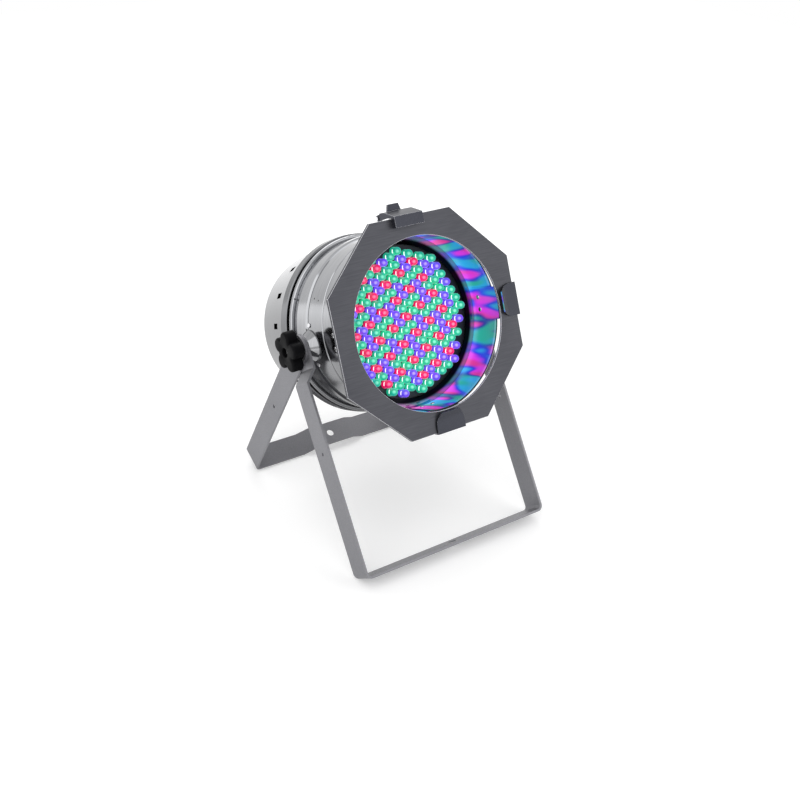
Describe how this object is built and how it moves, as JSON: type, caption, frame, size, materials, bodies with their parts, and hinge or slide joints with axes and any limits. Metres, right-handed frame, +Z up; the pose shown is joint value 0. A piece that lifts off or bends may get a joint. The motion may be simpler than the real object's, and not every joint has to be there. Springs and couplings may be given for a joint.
{
  "type": "par can light",
  "caption": "Stage par can light with a round field of coloured lamps, an octagonal gel frame in clips, and two yokes that form a floor stand.",
  "frame": {"origin": "on the floor under the middle of the part's bounding box, with both yokes standing on it", "axes": "+Z up, the beam leaves towards -Y and up, and X runs along the two pivots"},
  "size_m": [0.2874, 0.3496, 0.4042],
  "materials": {
    "polished_can": "polished",
    "yoke_steel": "satin",
    "frame_steel": "satin",
    "grey_steel": "satin",
    "bright_steel": "bright",
    "black_steel": "satin",
    "black_metal": "matt",
    "black_board": "satin",
    "green_board": "satin",
    "dark_parts": "satin",
    "red_lens": "clear",
    "green_lens": "clear",
    "blue_lens": "clear",
    "black_plastic": "matt",
    "key_plastic": "matt",
    "display_window": "gloss"
  },
  "bodies": {
    "lamp": {"front_can": "polished_can", "rear_housing": "polished_can", "seam_screws": "black_steel", "led_board": "black_board", "red_leds": "red_lens", "green_leds": "green_lens", "blue_leds": "blue_lens", "led_ring": "black_metal", "board_pillars": "bright_steel", "board_screws": "bright_steel", "chassis_pan": "grey_steel", "power_board": "green_board", "power_parts": "dark_parts", "driver_board": "green_board", "driver_parts": "dark_parts", "pivot_plates": "grey_steel", "pivot_rivets": "bright_steel", "pivot_bolts": "bright_steel", "pivot_spacers": "bright_steel", "pivot_washers": "black_plastic", "clip_left": "grey_steel", "clip_right": "grey_steel", "clip_bottom": "grey_steel", "clip_rivets": "bright_steel", "latch_bracket": "grey_steel", "latch_pin": "bright_steel", "latch_spring": "bright_steel", "socket_in": "black_metal", "socket_out": "black_metal", "socket_pins": "bright_steel", "socket_insert": "black_plastic", "socket_screws": "bright_steel", "display": "display_window", "gland_body": "black_plastic", "gland_nut": "black_plastic", "safety_eye": "bright_steel"},
    "front_yoke": {"front_yoke": "yoke_steel"},
    "rear_yoke": {"rear_yoke": "yoke_steel"},
    "knob_left": {"knob_left": "black_plastic"},
    "knob_right": {"knob_right": "black_plastic"},
    "latch": {"latch_arm": "grey_steel"},
    "gel_frame": {"gel_frame_front": "frame_steel", "gel_frame_back": "frame_steel"},
    "menu_key_a": {"menu_key_a": "key_plastic"},
    "menu_key_b": {"menu_key_b": "key_plastic"},
    "menu_key_c": {"menu_key_c": "key_plastic"},
    "menu_key_d": {"menu_key_d": "key_plastic"}
  },
  "joints": [
    {"name": "front_yoke_swing", "type": "hinge", "parent": "lamp", "child": "front_yoke", "pos_m": [0, 0.00109, 0.23999], "axis": [-1, 0, 0], "range_deg": [0, 110]},
    {"name": "rear_yoke_swing", "type": "hinge", "parent": "lamp", "child": "rear_yoke", "pos_m": [0, 0.00109, 0.23999], "axis": [1, 0, 0], "range_deg": [0, 110]},
    {"name": "knob_left_turn", "type": "hinge", "parent": "lamp", "child": "knob_left", "pos_m": [0, 0.00109, 0.23999], "axis": [-1, 0, 0], "continuous": true},
    {"name": "knob_right_turn", "type": "hinge", "parent": "lamp", "child": "knob_right", "pos_m": [0, 0.00109, 0.23999], "axis": [1, 0, 0], "continuous": true},
    {"name": "frame_lift", "type": "slide", "parent": "lamp", "child": "gel_frame", "axis": [0, 0.4083, 0.9128], "range_m": [0, 0.03]},
    {"name": "latch_lift", "type": "hinge", "parent": "lamp", "child": "latch", "pos_m": [-0.007, -0.01114, 0.38897], "axis": [-1, 0, 0], "range_deg": [0, 115]},
    {"name": "menu_key_a_press", "type": "slide", "parent": "lamp", "child": "menu_key_a", "axis": [0, -0.9128, 0.4083], "range_m": [0, 0.0008], "stiffness_N_per_m": 300, "springref_m": -0.001},
    {"name": "menu_key_b_press", "type": "slide", "parent": "lamp", "child": "menu_key_b", "axis": [0, -0.9128, 0.4083], "range_m": [0, 0.0008], "stiffness_N_per_m": 300, "springref_m": -0.001},
    {"name": "menu_key_c_press", "type": "slide", "parent": "lamp", "child": "menu_key_c", "axis": [0, -0.9128, 0.4083], "range_m": [0, 0.0008], "stiffness_N_per_m": 300, "springref_m": -0.001},
    {"name": "menu_key_d_press", "type": "slide", "parent": "lamp", "child": "menu_key_d", "axis": [0, -0.9128, 0.4083], "range_m": [0, 0.0008], "stiffness_N_per_m": 300, "springref_m": -0.001}
  ],
  "couplings": [
    {"joint": "latch_lift", "follows": "frame_lift", "rad_per_m": 66.6}
  ]
}
